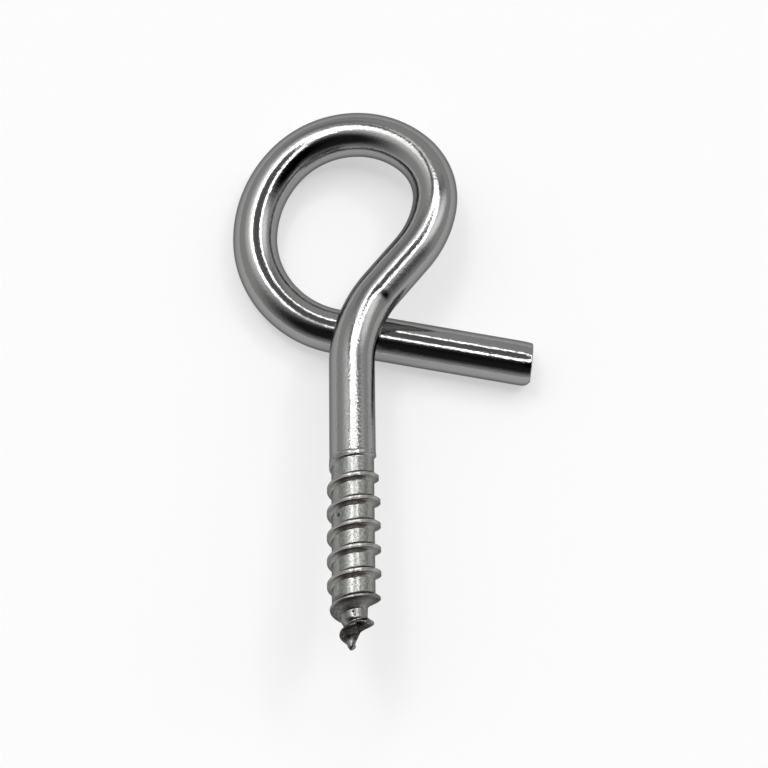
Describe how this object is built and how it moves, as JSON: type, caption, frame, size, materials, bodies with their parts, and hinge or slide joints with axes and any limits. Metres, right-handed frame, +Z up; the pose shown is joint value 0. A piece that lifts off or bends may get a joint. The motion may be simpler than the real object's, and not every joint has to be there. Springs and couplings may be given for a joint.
{
  "type": "pigtail screw eye",
  "caption": "One-piece stainless wire screw eye: wood-screw thread and gimlet point, open round eye, and a straight tail that passes behind the shank.",
  "frame": {"origin": "centre of the bounding box's base, on the surface that the part lies on", "axes": "+Y from the screw's point towards the eye, +X towards the tail's end, +Z up from the surface"},
  "size_m": [0.0338, 0.0641, 0.0175],
  "materials": {
    "stainless_steel": "bright drawn stainless wire, polished lengthwise; duller and rougher on the rolled thread"
  },
  "bodies": {
    "root": {"pigtail_screw_eye": "stainless_steel"}
  },
  "joints": []
}
